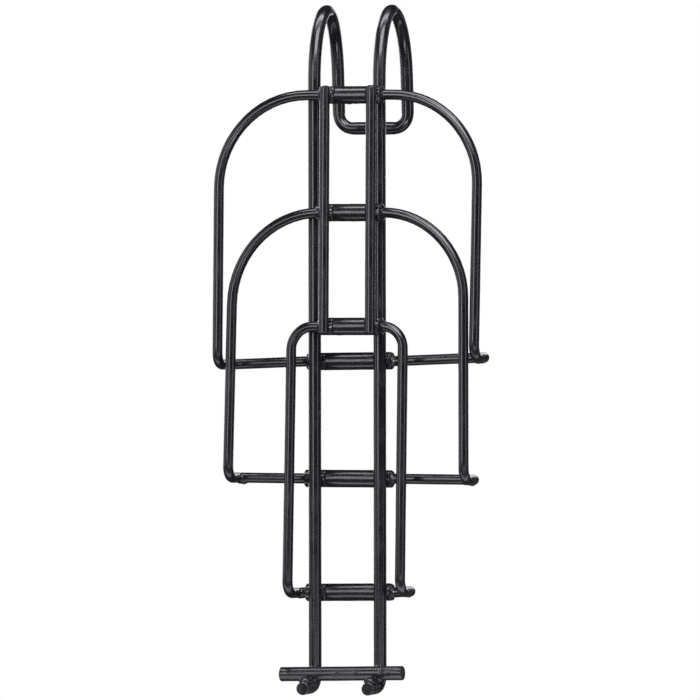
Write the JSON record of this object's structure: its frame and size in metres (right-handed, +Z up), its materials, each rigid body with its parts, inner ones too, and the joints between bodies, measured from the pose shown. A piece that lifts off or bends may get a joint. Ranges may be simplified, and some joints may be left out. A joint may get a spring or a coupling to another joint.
{
  "type": "folding luggage rack",
  "caption": "Hang-over folding rack of bent black wire: twin rail hooks, nested arched bails that swing out together on hinge tubes, and a ladder that links their tops.",
  "frame": {"origin": "underside of the two hook tops, midway between the hooks, where the rail bears", "axes": "+Z up along the uprights, -Y to the front, the side the bails swing out to, +X to the right seen from the front"},
  "size_m": [0.2297, 0.0973, 0.5531],
  "materials": {
    "paint": "semi-gloss black paint over steel",
    "weld": "painted weld bead, lumpy and semi-gloss",
    "worn_pin": "semi-gloss black paint, worn to bare steel beside the tubes"
  },
  "bodies": {
    "frame": {"frame_rod": "paint", "cross_bar": "paint", "upper_hinge_tube": "paint", "middle_hinge_tube": "paint", "lower_hinge_tube": "paint", "cross_bar_weld_left": "weld", "cross_bar_weld_right": "weld", "upper_hinge_tube_weld_left": "weld", "upper_hinge_tube_weld_right": "weld", "middle_hinge_tube_weld_left": "weld", "middle_hinge_tube_weld_right": "weld", "lower_hinge_tube_weld_left": "weld", "lower_hinge_tube_weld_right": "weld"},
    "upper_bail": {"upper_bail": "paint", "upper_bail_pin": "worn_pin", "upper_bail_weld_left": "weld", "upper_bail_weld_right": "weld"},
    "middle_bail": {"middle_bail": "paint", "middle_bail_pin": "worn_pin", "middle_bail_weld_left": "weld", "middle_bail_weld_right": "weld"},
    "lower_bail": {"lower_bail": "paint", "lower_bail_pin": "worn_pin", "lower_bail_weld_left": "weld", "lower_bail_weld_right": "weld"},
    "ladder": {"ladder_bar_left": "paint", "ladder_bar_right": "paint", "upper_ladder_tube": "paint", "middle_ladder_tube": "paint", "lower_ladder_tube": "paint", "upper_ladder_weld_left": "weld", "upper_ladder_weld_right": "weld", "middle_ladder_weld_left": "weld", "middle_ladder_weld_right": "weld", "lower_ladder_weld_left": "weld", "lower_ladder_weld_right": "weld"}
  },
  "joints": [
    {"name": "upper_bail_hinge", "type": "hinge", "parent": "frame", "child": "upper_bail", "pos_m": [0, -0.018, -0.2769], "axis": [1, 0, 0], "range_deg": [0, 130.2]},
    {"name": "middle_bail_hinge", "type": "hinge", "parent": "frame", "child": "middle_bail", "pos_m": [0, -0.018, -0.3713], "axis": [1, 0, 0], "range_deg": [0, 130.2]},
    {"name": "lower_bail_hinge", "type": "hinge", "parent": "frame", "child": "lower_bail", "pos_m": [0, -0.018, -0.4626], "axis": [1, 0, 0], "range_deg": [0, 130.2]},
    {"name": "ladder_hinge", "type": "hinge", "parent": "upper_bail", "child": "ladder", "pos_m": [0, -0.0424, -0.0633], "axis": [1, 0, 0], "range_deg": [-130.2, 0]}
  ],
  "couplings": [
    {"joint": "middle_bail_hinge", "follows": "upper_bail_hinge", "ratio": 1},
    {"joint": "lower_bail_hinge", "follows": "upper_bail_hinge", "ratio": 1},
    {"joint": "ladder_hinge", "follows": "upper_bail_hinge", "ratio": -1}
  ]
}
